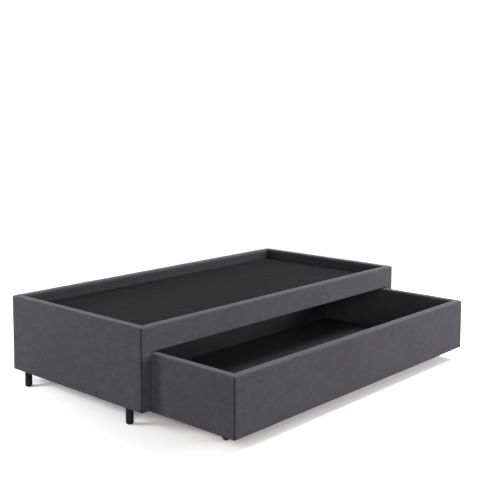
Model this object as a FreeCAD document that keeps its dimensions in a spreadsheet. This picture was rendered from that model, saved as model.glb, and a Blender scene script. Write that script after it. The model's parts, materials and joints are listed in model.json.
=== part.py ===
import FreeCAD, Part
import os
import Sketcher
from FreeCAD import Vector

# Upholstered single bed with a trundle drawer on casters.
# X runs along the bed, the drawer rolls out towards -Y, +Z is up and the floor is Z 0.
# At rest the drawer stands out by open_travel, and the origin is the middle of the
# floor area that the bed and the open drawer cover together.

DIMENSIONS = [
    # the upholstered box of the bed
    ("bed_length", 1980, "outside length, over the upholstery"),
    ("bed_width", 980, "outside width, over the upholstery"),
    ("bed_height", 450, "floor to the top of the rim"),
    ("leg_height", 75, "floor to the underside of the box"),
    ("fascia_height", 115, "front fascia above the drawer opening"),
    ("stile_width", 54, "front face beside the opening, over the upholstery"),
    ("opening_round", 22, "radius of the opening's top corners"),
    ("recess_depth", 57, "rim down to the mattress deck"),
    ("board", 30, "thickness of the bed's boards"),
    ("pad", 5, "wadding and fabric over a board"),
    ("rim_round", 8, "rounding of the bed's upper edges, outside and inside the rim"),
    ("wrap", 1.5, "fabric turned under an edge"),
    ("deck_panel", 12, "mattress deck panel"),
    ("deck_cloth", 1.5, "non-woven cloth over the deck"),
    ("joist_high", 36, "deck joist, height"),
    ("joist_wide", 28, "deck joist, width"),
    ("end_gap", 0.5, "joint between the two deck panels"),
    # legs and their fixings
    ("leg_radius", 17.5, "round leg"),
    ("leg_round", 10, "rounding of the leg's foot"),
    ("leg_inset", 103, "leg axis from the front or rear face"),
    ("stud_radius", 4, "threaded stud in the leg"),
    ("stud_in_leg", 26, "stud inside the leg"),
    ("stud_in_board", 16, "stud inside the insert"),
    ("insert_radius", 6.5, "threaded insert in the board"),
    ("insert_long", 20, "threaded insert, length"),
    ("fit_gap", 0.1, "radial gap of a screw, stud, pin or insert in its hole"),
    # screws that join boards
    ("screw_radius", 2.25, "shank of a board screw"),
    ("screw_long", 60, "board screw, overall"),
    ("screw_head", 4.5, "radius of the countersunk head"),
    ("screw_sink", 3.5, "height of the countersunk head"),
    ("screw_margin", 38, "end screws from a board's edge"),
    # the drawer
    ("side_gap", 6, "drawer to each side of the opening"),
    ("top_gap", 8, "drawer top to the opening's top"),
    ("back_gap", 20, "closed drawer to the rear board"),
    ("front_proud", 12, "closed drawer's front stands out of the bed's front"),
    ("open_travel", 480, "how far the drawer stands open at rest"),
    ("drawer_board", 33, "thickness of the drawer's boards"),
    ("lining", 2, "black cloth inside the drawer"),
    ("drawer_round", 10, "rounding of the drawer's outer upper edges"),
    ("mouth_round", 4, "rounding of the drawer's inner upper edges"),
    ("bearer_high", 18, "bearers and cleats under the drawer's bottom"),
    ("bearer_wide", 90, "bearer, width"),
    ("cleat_wide", 20, "cleat, width"),
    ("bottom_panel", 6, "drawer's bottom panel"),
    # casters
    ("caster_high", 66, "floor to the caster's mounting face"),
    ("caster_side", 112, "caster from the drawer's side face"),
    ("caster_end", 150, "caster from the drawer's front or back face"),
    ("wheel_radius", 25, "wheel tread"),
    ("wheel_wide", 19, "wheel, width at the tread"),
    ("tread_round", 1.5, "chamfer of the tread's edges"),
    ("hub_radius", 9, "wheel hub"),
    ("web_wide", 7, "wheel web, thickness"),
    ("rim_deep", 6, "wheel rim, radial depth"),
    ("axle_radius", 4, "caster axle"),
    ("axle_play", 0.08, "radial running gap of the wheel on its axle"),
    ("axle_head", 6, "radius of the riveted axle ends"),
    ("axle_rivet", 1.6, "thickness of the riveted axle ends"),
    ("cheek", 2.5, "pressed steel of the caster bracket"),
    ("cheek_gap", 1.2, "wheel to each cheek"),
    ("cheek_top", 46, "length of a cheek at the plate"),
    ("cheek_foot", 11, "radius of a cheek round the axle"),
    ("plate_long", 64, "caster plate, along the drawer's travel"),
    ("plate_wide", 54, "caster plate, across"),
    ("plate_round", 6, "rounding of the plate's corners"),
    ("plate_screw_radius", 1.9, "shank of a plate screw"),
    ("plate_screw_long", 14, "plate screw under its head"),
    ("plate_head", 3.8, "radius of a plate screw's head"),
    ("plate_head_high", 2.2, "height of a plate screw's head"),
    ("plate_screw_edge", 8, "plate screw from the plate's edges"),
]
JOIST_COUNT = 5
CASTER_COLUMNS = ("left", "middle", "right")
END_SCREW_COUNT = 3
RAIL_SCREW_COUNT = 2

doc = FreeCAD.newDocument("trundle_bed")
sheet = doc.addObject("Spreadsheet::Sheet", "dims")
nodes = []


class Size:
    """A length in millimetres, with the sheet expression that gives it."""

    def __init__(self, value, text):
        self.value = float(value)
        self.text = text

    def __add__(self, other):
        other = as_size(other)
        return Size(self.value + other.value, f"({self.text} + {other.text})")

    def __sub__(self, other):
        other = as_size(other)
        return Size(self.value - other.value, f"({self.text} - {other.text})")

    def __mul__(self, factor):
        return Size(self.value * factor, f"({self.text} * {factor})")

    def __truediv__(self, divisor):
        return Size(self.value / divisor, f"({self.text} / {divisor})")

    def __neg__(self):
        return Size(-self.value, f"(0 - {self.text})")

    __radd__ = __add__
    __rmul__ = __mul__


def as_size(value):
    return value if isinstance(value, Size) else Size(value, str(value))


class Dimensions:
    """The sheet's cells by name."""


d = Dimensions()
for row, (alias, value, meaning) in enumerate(DIMENSIONS, start=1):
    sheet.set(f"A{row}", meaning)
    sheet.set(f"B{row}", str(value))
    sheet.setAlias(f"B{row}", alias)
    setattr(d, alias, Size(value, f"dims.{alias}"))
doc.recompute()


# ---------------------------------------------------------------- helpers


def bind(obj, name, value):
    """Set a property of obj and tie it to the sheet."""
    obj.setExpression(name, as_size(value).text)


def place(obj, x, y, z, rotation=None):
    """Put obj at a point that follows the sheet."""
    if rotation is not None:
        obj.Placement.Rotation = rotation
    for axis, value in zip("xyz", (x, y, z)):
        bind(obj, f"Placement.Base.{axis}", value)
    return obj


def box(name, low, high):
    """A block between two corners."""
    obj = doc.addObject("Part::Box", name)
    for side, start, end in zip(("Length", "Width", "Height"), low, high):
        bind(obj, side, as_size(end) - start)
    return place(obj, *low)


TURN = {
    "+x": FreeCAD.Rotation(Vector(0, 1, 0), 90),
    "-x": FreeCAD.Rotation(Vector(0, 1, 0), -90),
    "+y": FreeCAD.Rotation(Vector(1, 0, 0), -90),
    "-y": FreeCAD.Rotation(Vector(1, 0, 0), 90),
    "+z": FreeCAD.Rotation(),
}


def rod(name, start, way, radius, length):
    """A cylinder from start along one of the six ways."""
    obj = doc.addObject("Part::Cylinder", name)
    bind(obj, "Radius", radius)
    bind(obj, "Height", length)
    return place(obj, *start, TURN[way])


def cone(name, start, way, radius_1, radius_2, length):
    """A cone from start along one of the six ways."""
    obj = doc.addObject("Part::Cone", name)
    bind(obj, "Radius1", radius_1)
    bind(obj, "Radius2", radius_2)
    bind(obj, "Height", length)
    return place(obj, *start, TURN[way])


def fuse(name, shapes):
    obj = doc.addObject("Part::MultiFuse", name)
    obj.Shapes = shapes
    return obj


def group(name, shapes):
    """Several loose solids that share one node."""
    obj = doc.addObject("Part::Compound", name)
    obj.Links = shapes
    return obj


def cut(name, base, tools):
    obj = doc.addObject("Part::Cut", name)
    obj.Base = base
    obj.Tool = tools[0] if len(tools) == 1 else group(f"{name}_tools", tools)
    return obj


def common(name, shapes):
    obj = doc.addObject("Part::MultiCommon", name)
    obj.Shapes = shapes
    return obj


def node(label, obj):
    """Keep obj as one sub-part of the bed."""
    obj.Label = label
    nodes.append(obj)
    return obj


def rounded_block(name, along, low, high, radius):
    """A block whose two upper edges along x or y, or whose four upright edges along z, are round."""
    run = "xyz".index(along)
    across, up = [axis for axis in range(3) if axis != run]

    def corner(base, u, v):
        point = list(base)
        point[across] = u
        point[up] = v
        return tuple(point)

    levels = [high[up] - radius]
    side_low = low[up]
    if along == "z":
        side_low = low[up] + radius
        levels.append(side_low)
    shoulders = (low[across] + radius, high[across] - radius)
    shapes = [
        box(f"{name}_middle", corner(low, shoulders[0], low[up]), corner(high, shoulders[1], high[up])),
        box(f"{name}_wide", corner(low, low[across], side_low), corner(high, high[across], levels[0])),
    ]
    for i, u in enumerate(shoulders):
        for j, v in enumerate(levels):
            start = corner(low, u, v)
            shapes.append(rod(f"{name}_round_{i}{j}", start, f"+{along}", radius, high[run] - low[run]))
    return fuse(name, shapes)


def soft_block(name, low, high, upper_round, upright_round):
    """A block with round upper edges and round upright edges."""
    return common(
        name,
        [
            rounded_block(f"{name}_along_x", "x", low, high, upper_round),
            rounded_block(f"{name}_along_y", "y", low, high, upper_round),
            rounded_block(f"{name}_upright", "z", low, high, upright_round),
        ],
    )


def flared(name, along, low, high, radius):
    """The upper edge of a recess as a solid: it widens upwards by radius to both sides."""
    run = "xyz".index(along)
    across = 1 - run
    wide_low, wide_high = list(low), list(high)
    wide_low[across] = low[across] - radius
    wide_high[across] = high[across] + radius
    wide_low[run] = low[run] - radius
    wide_high[run] = high[run] + radius
    wide_low[2] = high[2] - radius
    rods = []
    for i, u in enumerate((wide_low[across], wide_high[across])):
        start = list(wide_low)
        start[across] = u
        rods.append(rod(f"{name}_round_{i}", start, f"+{along}", radius, wide_high[run] - wide_low[run]))
    return cut(name, box(f"{name}_block", wide_low, wide_high), rods)


def soft_mouth(name, low, high, radius):
    """What rounding the upper edges of a recess takes away."""
    return common(
        name,
        [
            flared(f"{name}_along_x", "x", low, high, radius),
            flared(f"{name}_along_y", "y", low, high, radius),
        ],
    )


def outward(side, near, far):
    """A span in X, given as distances from the middle plane on one side of it."""
    return (as_size(near), as_size(far)) if side > 0 else (-as_size(far), -as_size(near))


def new_body(label, x, y, z):
    body = doc.addObject("PartDesign::Body", label)
    place(body, x, y, z)
    return node(label, body)


def sketch_on(body, plane, name):
    """An empty sketch on one of the body's own origin planes."""
    sketch = body.newObject("Sketcher::SketchObject", f"{body.Name}_{name}")
    support = [feature for feature in body.Origin.OriginFeatures if feature.Role == plane]
    sketch.AttachmentSupport = [(support[0], "")]
    sketch.MapMode = "FlatFace"
    return sketch


def fix_point(sketch, index, point, u, v):
    """Hold one point of a sketch at (u, v) from the sketch's origin."""
    for kind, value in (("DistanceX", as_size(u)), ("DistanceY", as_size(v))):
        number = sketch.addConstraint(Sketcher.Constraint(kind, -1, 1, index, point, value.value))
        sketch.setExpression(f"Constraints[{number}]", value.text)


def draw_polygon(sketch, corners):
    """A closed outline of straight lines whose corners follow the sheet."""
    first = sketch.GeometryCount
    count = len(corners)
    flat = [Vector(as_size(u).value, as_size(v).value, 0) for u, v in corners]
    for i in range(count):
        sketch.addGeometry(Part.LineSegment(flat[i], flat[(i + 1) % count]), False)
    for i in range(count):
        after = first + (i + 1) % count
        sketch.addConstraint(Sketcher.Constraint("Coincident", first + i, 2, after, 1))
    for i, (u, v) in enumerate(corners):
        fix_point(sketch, first + i, 1, u, v)


def draw_circle(sketch, u, v, radius):
    index = sketch.GeometryCount
    centre = Vector(as_size(u).value, as_size(v).value, 0)
    sketch.addGeometry(Part.Circle(centre, Vector(0, 0, 1), as_size(radius).value), False)
    number = sketch.addConstraint(Sketcher.Constraint("Radius", index, as_size(radius).value))
    sketch.setExpression(f"Constraints[{number}]", as_size(radius).text)
    fix_point(sketch, index, 3, u, v)


def pad_both_ways(body, sketch, length, name):
    pad = body.newObject("PartDesign::Pad", f"{body.Name}_{name}")
    pad.Profile = sketch
    pad.Midplane = True
    bind(pad, "Length", length)
    return pad


def pocket(body, sketch, length, name, backwards=False, both_ways=False):
    """Cut a sketch out of the body, and make sure that it took material away."""
    doc.recompute()
    before = body.Shape.Volume
    feature = body.newObject("PartDesign::Pocket", f"{body.Name}_{name}")
    feature.Profile = sketch
    feature.Reversed = backwards
    feature.Midplane = both_ways
    bind(feature, "Length", length)
    doc.recompute()
    if not body.Shape.Volume < before - 1:
        raise RuntimeError(f"{feature.Name} cuts nothing")
    return feature


# ---------------------------------------------------------------- shared planes

half_length = d.bed_length / 2
middle_y = (d.open_travel + d.front_proud) / 2
front_y = middle_y - d.bed_width / 2
rear_y = middle_y + d.bed_width / 2
box_low = d.leg_height
rim = d.pad + d.board + d.pad
board_low = box_low + d.wrap
board_top = d.bed_height - d.pad
front_board_y = front_y + d.pad
rear_board_y = rear_y - d.pad
end_board_in = half_length - d.pad - d.board
end_board_out = half_length - d.pad
opening_half = half_length - d.stile_width
opening_top = d.bed_height - d.fascia_height
deck_top = d.bed_height - d.recess_depth
panel_top = deck_top - d.deck_cloth
panel_low = panel_top - d.deck_panel
inner_front_y = front_board_y + d.board
inner_rear_y = rear_board_y - d.board
leg_x = half_length - rim / 2

drawer_half = opening_half - d.side_gap
drawer_low = d.caster_high
drawer_top = opening_top - d.top_gap
drawer_front_y = front_y - d.front_proud - d.open_travel
drawer_back_y = inner_rear_y - d.back_gap - d.open_travel
drawer_wall = d.pad + d.drawer_board + d.lining
drawer_board_low = drawer_low + d.wrap
drawer_board_top = drawer_top - d.pad
bay_half = drawer_half - d.pad - d.drawer_board
bay_front_y = drawer_front_y + d.pad + d.drawer_board
bay_back_y = drawer_back_y - d.pad - d.drawer_board
bearer_top = drawer_low + d.bearer_high
caster_x = drawer_half - d.caster_side

SIDES = ((-1, "head"), (1, "foot"))
DRAWER_SIDES = ((-1, "left"), (1, "right"))


def spread(low, high, count):
    """Evenly spaced values from low to high."""
    step = (high - low) / (count - 1)
    return [low + step * i for i in range(count)]


# ---------------------------------------------------------------- screws


def screw(name, start, way, grow=0):
    """A countersunk screw with its head at start; grow opens it up into its own hole."""
    head = cone(f"{name}_head", start, way, d.screw_head + grow, d.screw_radius + grow, d.screw_sink)
    shank = rod(f"{name}_shank", start, way, d.screw_radius + grow, d.screw_long + grow)
    return fuse(name, [head, shank])


def screws(name, places):
    """All screws of one kind of joint, as (start, way) pairs."""
    return [screw(f"{name}_{i}", start, way) for i, (start, way) in enumerate(places)]


def holes(name, places):
    return [screw(f"{name}_{i}", start, way, d.fit_gap) for i, (start, way) in enumerate(places)]


rear_screw_z = spread(board_low + d.screw_margin, board_top - d.screw_margin, END_SCREW_COUNT)
rail_screw_z = spread(opening_top + d.screw_margin, board_top - d.screw_margin / 2, RAIL_SCREW_COUNT)
joist_x = [
    -end_board_in + (end_board_in * 2) * ((i + 1) / (JOIST_COUNT + 1)) for i in range(JOIST_COUNT)
]
joist_z = panel_low - d.joist_high / 2


def end_screw_places(side, heights, y):
    """Screws through an end board, which enter from its outer face."""
    way = "-x" if side > 0 else "+x"
    return [(((end_board_out * side), y, z), way) for z in heights]


front_edge_y = front_board_y + d.board / 2
rear_edge_y = rear_board_y - d.board / 2
rail_places = {side: end_screw_places(side, rail_screw_z, front_edge_y) for side, _ in SIDES}
rear_places = {side: end_screw_places(side, rear_screw_z, rear_edge_y) for side, _ in SIDES}
front_joist_places = [((x, front_board_y, joist_z), "+y") for x in joist_x]
rear_joist_places = [((x, rear_board_y, joist_z), "-y") for x in joist_x]


# ---------------------------------------------------------------- the bed's boards

leg_rows = (("front", front_y + d.leg_inset), ("rear", rear_y - d.leg_inset))

for side, end_name in SIDES:
    low_x, high_x = outward(side, end_board_in, end_board_out)
    board = box(f"{end_name}_blank", (low_x, front_board_y, board_low), (high_x, rear_board_y, board_top))
    tools = holes(f"{end_name}_rail_hole", rail_places[side])
    tools += holes(f"{end_name}_rear_hole", rear_places[side])
    for row_name, y in leg_rows:
        start = (leg_x * side, y, board_low)
        seat_radius = d.insert_radius + d.fit_gap
        tools.append(rod(f"{end_name}_{row_name}_seat", start, "+z", seat_radius, d.insert_long))
    node(f"{end_name}_end_board", cut(f"{end_name}_end_board", board, tools))

rail = box(
    "rail_blank",
    (-end_board_in, front_board_y, opening_top + d.pad),
    (end_board_in, inner_front_y, board_top),
)
rail_tools = holes("rail_end", rail_places[-1] + rail_places[1]) + holes("rail_joist", front_joist_places)
node("front_top_rail", cut("front_top_rail", rail, rail_tools))

rear = box("rear_blank", (-end_board_in, inner_rear_y, board_low), (end_board_in, rear_board_y, board_top))
rear_tools = holes("rear_end", rear_places[-1] + rear_places[1]) + holes("rear_joist", rear_joist_places)
node("rear_board", cut("rear_board", rear, rear_tools))


for side, end_name in SIDES:
    name = f"{end_name}_front_stile"
    low_x, high_x = outward(side, opening_half + d.pad, end_board_in)
    node(name, box(name, (low_x, front_board_y, board_low), (high_x, inner_front_y, opening_top + d.pad)))

# Two fillets fill the square corners behind the round ones of the opening.
board_round = d.opening_round + d.pad
fillet_top = opening_top + d.pad
fillet_low = fillet_top - board_round
fillets = []
for side, end_name in SIDES:
    name = f"{end_name}_fillet"
    low_x, high_x = outward(side, opening_half + d.pad - board_round, opening_half + d.pad)
    corner = box(f"{name}_blank", (low_x, front_board_y, fillet_low), (high_x, inner_front_y, fillet_top))
    start = ((opening_half + d.pad - board_round) * side, front_board_y, fillet_low)
    fillets.append(cut(name, corner, [rod(f"{name}_round", start, "+y", board_round, d.board)]))
node("opening_corner_fillets", group("opening_corner_fillets", fillets))

for i, x in enumerate(joist_x, start=1):
    blank = box(
        f"joist_{i}_blank",
        (x - d.joist_wide / 2, inner_front_y, panel_low - d.joist_high),
        (x + d.joist_wide / 2, inner_rear_y, panel_low),
    )
    ends = [front_joist_places[i - 1], rear_joist_places[i - 1]]
    node(f"deck_joist_{i}", cut(f"deck_joist_{i}", blank, holes(f"joist_{i}_hole", ends)))

for side, end_name in SIDES:
    low_x, high_x = outward(side, end_board_in - d.joist_wide, end_board_in)
    node(
        f"{end_name}_ledger",
        box(
            f"{end_name}_ledger",
            (low_x, inner_front_y, panel_low - d.joist_high),
            (high_x, inner_rear_y, panel_low),
        ),
    )
    low_x, high_x = outward(side, d.end_gap / 2, end_board_in)
    node(
        f"{end_name}_deck_panel",
        box(f"{end_name}_deck_panel", (low_x, inner_front_y, panel_low), (high_x, inner_rear_y, panel_top)),
    )

node(
    "deck_cloth",
    box(
        "deck_cloth",
        (-(half_length - rim), front_y + rim, panel_top),
        (half_length - rim, rear_y - rim, deck_top),
    ),
)

node(
    "frame_screws",
    group(
        "frame_screws",
        screws("rail_screw", rail_places[-1] + rail_places[1])
        + screws("rear_screw", rear_places[-1] + rear_places[1]),
    ),
)
node("joist_screws", group("joist_screws", screws("joist_screw", front_joist_places + rear_joist_places)))


# ---------------------------------------------------------------- the bed's upholstery


def softened(name, pieces, shape, taken):
    """A cover joined from flat pieces, with the round edges of the shape it belongs to."""
    return cut(name, common(f"{name}_rounded", [fuse(f"{name}_flat", pieces), shape]), taken)


rim_half = half_length - rim
rim_front_y = front_y + rim
rim_rear_y = rear_y - rim
bed_shape = soft_block(
    "bed_shape",
    (-half_length, front_y, box_low),
    (half_length, rear_y, d.bed_height),
    d.rim_round,
    d.pad,
)
bed_mouth = soft_mouth(
    "bed_mouth",
    (-rim_half, rim_front_y, deck_top),
    (rim_half, rim_rear_y, d.bed_height),
    d.rim_round,
)


def stud_hole(name, side, y, low, high):
    return rod(name, (leg_x * side, y, low), "+z", d.stud_radius + d.fit_gap, high - low)


for side, end_name in SIDES:
    skin_x = outward(side, end_board_out, half_length)
    top_x = outward(side, rim_half, half_length)
    inside_x = outward(side, rim_half, end_board_in)
    under_x = outward(side, end_board_in, end_board_out)
    pieces = [
        box(
            f"{end_name}_skin",
            (skin_x[0], front_board_y, box_low),
            (skin_x[1], rear_board_y, d.bed_height),
        ),
        box(
            f"{end_name}_top",
            (top_x[0], front_board_y, board_top),
            (top_x[1], rear_board_y, d.bed_height),
        ),
        box(
            f"{end_name}_inside",
            (inside_x[0], inner_front_y + d.pad, panel_top),
            (inside_x[1], inner_rear_y - d.pad, board_top),
        ),
    ]
    under = box(
        f"{end_name}_under",
        (under_x[0], front_board_y, box_low),
        (under_x[1], rear_board_y, board_low),
    )
    studs = [stud_hole(f"{end_name}_{word}_pass", side, y, box_low, board_low) for word, y in leg_rows]
    pieces.append(cut(f"{end_name}_under_pierced", under, studs))
    node(f"{end_name}_end_cover", softened(f"{end_name}_end_cover", pieces, bed_shape, [bed_mouth]))

opening = rounded_block(
    "opening",
    "y",
    (-opening_half, front_y, box_low),
    (opening_half, inner_front_y, opening_top),
    d.opening_round,
)
face = box("front_face", (-half_length, front_y, box_low), (half_length, front_board_y, d.bed_height))
liner = rounded_block(
    "liner",
    "y",
    (-opening_half - d.pad, front_board_y, box_low),
    (opening_half + d.pad, inner_front_y, opening_top + d.pad),
    board_round,
)
front_top = box("front_top", (-rim_half, front_board_y, board_top), (rim_half, rim_front_y, d.bed_height))
front_inside = box("front_inside", (-rim_half, inner_front_y, panel_top), (rim_half, rim_front_y, board_top))
front_pieces = [face, liner, front_top, front_inside]
node("front_cover", softened("front_cover", front_pieces, bed_shape, [bed_mouth, opening]))

rear_pieces = [
    box("rear_face", (-half_length, rear_board_y, box_low), (half_length, rear_y, d.bed_height)),
    box("rear_top", (-rim_half, rim_rear_y, board_top), (rim_half, rear_board_y, d.bed_height)),
    box("rear_inside", (-rim_half, rim_rear_y, panel_top), (rim_half, inner_rear_y, board_top)),
    box("rear_under", (-end_board_in, inner_rear_y, box_low), (end_board_in, rear_board_y, board_low)),
]
node("rear_cover", softened("rear_cover", rear_pieces, bed_shape, [bed_mouth]))


# ---------------------------------------------------------------- legs


def leg(label, x, y):
    """A round moulded leg with a soft foot and a blind hole for its stud."""
    body = new_body(label, x, y, 0)
    column = sketch_on(body, "XY_Plane", "column")
    draw_circle(column, 0, 0, d.leg_radius)
    pad = body.newObject("PartDesign::Pad", f"{label}_pad")
    pad.Profile = column
    bind(pad, "Length", d.leg_height)
    doc.recompute()
    foot = [
        f"Edge{i}"
        for i, edge in enumerate(pad.Shape.Edges, start=1)
        if abs(edge.BoundBox.ZMax) < 1e-6
    ]
    rounded = body.newObject("PartDesign::Fillet", f"{label}_foot")
    rounded.Base = (pad, foot)
    bind(rounded, "Radius", d.leg_round)
    doc.recompute()
    mouth = sketch_on(body, "XY_Plane", "mouth")
    mouth.setExpression("AttachmentOffset.Base.z", d.leg_height.text)
    draw_circle(mouth, 0, 0, d.stud_radius + d.fit_gap)
    pocket(body, mouth, d.stud_in_leg + d.fit_gap, "stud_hole")
    return body


studs = []
inserts = []
for side, end_name in SIDES:
    for row_name, y in leg_rows:
        leg(f"{end_name}_{row_name}_leg", leg_x * side, y)
        word = f"{end_name}_{row_name}"
        foot_z = d.leg_height - d.stud_in_leg
        start = (leg_x * side, y, foot_z)
        stud_long = d.stud_in_leg + d.wrap + d.stud_in_board
        studs.append(rod(f"{word}_stud", start, "+z", d.stud_radius, stud_long))
        seat = (leg_x * side, y, board_low)
        sleeve = rod(f"{word}_sleeve", seat, "+z", d.insert_radius, d.insert_long)
        thread = rod(f"{word}_thread", seat, "+z", d.stud_radius + d.fit_gap, d.insert_long)
        inserts.append(cut(f"{word}_insert", sleeve, [thread]))
node("leg_studs", group("leg_studs", studs))
node("leg_inserts", group("leg_inserts", inserts))


# ---------------------------------------------------------------- the drawer's boards

corner_z = spread(drawer_board_low + d.screw_margin, drawer_board_top - d.screw_margin, END_SCREW_COUNT)
corner_x = bay_half + d.drawer_board / 2
front_corner_places = [
    ((corner_x * side, drawer_front_y + d.pad, z), "+y") for side, _ in DRAWER_SIDES for z in corner_z
]
back_corner_places = [
    ((corner_x * side, drawer_back_y - d.pad, z), "-y") for side, _ in DRAWER_SIDES for z in corner_z
]
board_half = drawer_half - d.pad

front = box(
    "drawer_front_blank",
    (-board_half, drawer_front_y + d.pad, drawer_board_low),
    (board_half, bay_front_y, drawer_board_top),
)
node("drawer_front_board", cut("drawer_front_board", front, holes("front_corner_hole", front_corner_places)))
back = box(
    "drawer_back_blank",
    (-board_half, bay_back_y, drawer_board_low),
    (board_half, drawer_back_y - d.pad, drawer_board_top),
)
node("drawer_back_board", cut("drawer_back_board", back, holes("back_corner_hole", back_corner_places)))

per_side = len(corner_z)
for number, (side, word) in enumerate(DRAWER_SIDES):
    low_x, high_x = outward(side, bay_half, board_half)
    low = (low_x, bay_front_y, drawer_board_low)
    blank = box(f"{word}_side_blank", low, (high_x, bay_back_y, drawer_board_top))
    start = number * per_side
    own = front_corner_places[start:start + per_side] + back_corner_places[start:start + per_side]
    node(f"drawer_{word}_board", cut(f"drawer_{word}_board", blank, holes(f"{word}_side_hole", own)))

node(
    "drawer_screws",
    group("drawer_screws", screws("corner_screw", front_corner_places + back_corner_places)),
)

caster_rows = (("front", drawer_front_y + d.caster_end), ("back", drawer_back_y - d.caster_end))
caster_columns = list(zip(CASTER_COLUMNS, (-caster_x, as_size(0), caster_x)))
screw_step_x = d.plate_wide / 2 - d.plate_screw_edge
screw_step_y = d.plate_long / 2 - d.plate_screw_edge
plate_low = d.caster_high - d.cheek


def plate_screw_places(x, y):
    return [(x + screw_step_x * i, y + screw_step_y * j) for i in (-1, 1) for j in (-1, 1)]


for word, x in caster_columns:
    blank = box(
        f"bearer_{word}_blank",
        (x - d.bearer_wide / 2, bay_front_y, drawer_low),
        (x + d.bearer_wide / 2, bay_back_y, bearer_top),
    )
    pilots = []
    for row_name, y in caster_rows:
        for i, (u, v) in enumerate(plate_screw_places(x, y)):
            name = f"pilot_{word}_{row_name}_{i}"
            depth = d.plate_screw_long - d.cheek + d.fit_gap
            pilots.append(rod(name, (u, v, drawer_low), "+z", d.plate_screw_radius + d.fit_gap, depth))
    node(f"caster_bearer_{word}", cut(f"caster_bearer_{word}", blank, pilots))


def cleat(name, span_x, low_y, high_y):
    return box(name, (span_x[0], low_y, drawer_low), (span_x[1], high_y, bearer_top))


cleats = []
for side, word in DRAWER_SIDES:
    beside = outward(side, bay_half - d.cleat_wide, bay_half)
    between = outward(side, d.bearer_wide / 2, caster_x - d.bearer_wide / 2)
    cleats.append(cleat(f"side_cleat_{word}", beside, bay_front_y, bay_back_y))
    cleats.append(cleat(f"front_cleat_{word}", between, bay_front_y, bay_front_y + d.cleat_wide))
    cleats.append(cleat(f"back_cleat_{word}", between, bay_back_y - d.cleat_wide, bay_back_y))
node("drawer_bottom_cleats", group("drawer_bottom_cleats", cleats))

bottom_top = bearer_top + d.bottom_panel
node(
    "drawer_bottom_panel",
    box("drawer_bottom_panel", (-bay_half, bay_front_y, bearer_top), (bay_half, bay_back_y, bottom_top)),
)

tray = box("lining_tray", (-bay_half, bay_front_y, bottom_top), (bay_half, bay_back_y, drawer_board_top))
inside_half = bay_half - d.lining
hollow = box(
    "lining_hollow",
    (-inside_half, bay_front_y + d.lining, bottom_top + d.lining),
    (inside_half, bay_back_y - d.lining, drawer_board_top),
)
node("drawer_lining", cut("drawer_lining", tray, [hollow]))


# ---------------------------------------------------------------- the drawer's upholstery


def in_order(*values):
    """Sizes from the lowest to the highest."""
    return sorted(values, key=lambda size: size.value)


drawer_shape = soft_block(
    "drawer_shape",
    (-drawer_half, drawer_front_y, drawer_low),
    (drawer_half, drawer_back_y, drawer_top),
    d.drawer_round,
    d.pad,
)
drawer_mouth = soft_mouth(
    "drawer_mouth",
    (-inside_half, bay_front_y + d.lining, bottom_top),
    (inside_half, bay_back_y - d.lining, drawer_top),
    d.mouth_round,
)


def drawer_end_cover(name, outer_y, board_y, inner_y):
    """Front or back cover: the whole outer face, the board's top and its under edge."""
    inwards = 1 if inner_y.value > outer_y.value else -1
    skin = in_order(outer_y, board_y)
    top = in_order(board_y, inner_y + d.lining * inwards)
    under = in_order(board_y, inner_y)
    pieces = [
        box(f"{name}_skin", (-drawer_half, skin[0], drawer_low), (drawer_half, skin[1], drawer_top)),
        box(f"{name}_top", (-board_half, top[0], drawer_board_top), (board_half, top[1], drawer_top)),
        box(f"{name}_under", (-board_half, under[0], drawer_low), (board_half, under[1], drawer_board_low)),
    ]
    return node(name, softened(name, pieces, drawer_shape, [drawer_mouth]))


drawer_end_cover("drawer_front_cover", drawer_front_y, drawer_front_y + d.pad, bay_front_y)
drawer_end_cover("drawer_back_cover", drawer_back_y, drawer_back_y - d.pad, bay_back_y)

for side, word in DRAWER_SIDES:
    skin_x = outward(side, board_half, drawer_half)
    top_x = outward(side, inside_half, board_half)
    under_x = outward(side, bay_half, board_half)
    low_y = drawer_front_y + d.pad
    high_y = drawer_back_y - d.pad
    top_low = (top_x[0], bay_front_y + d.lining, drawer_board_top)
    under_low = (under_x[0], bay_front_y, drawer_low)
    pieces = [
        box(f"side_skin_{word}", (skin_x[0], low_y, drawer_low), (skin_x[1], high_y, drawer_top)),
        box(f"side_top_{word}", top_low, (top_x[1], bay_back_y - d.lining, drawer_top)),
        box(f"side_under_{word}", under_low, (under_x[1], bay_back_y, drawer_board_low)),
    ]
    node(f"drawer_{word}_cover", softened(f"drawer_{word}_cover", pieces, drawer_shape, [drawer_mouth]))


# ---------------------------------------------------------------- casters

axle_drop = d.caster_high - d.wheel_radius
inner_wide = d.wheel_wide + d.cheek_gap * 2
outer_wide = inner_wide + d.cheek * 2


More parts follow.
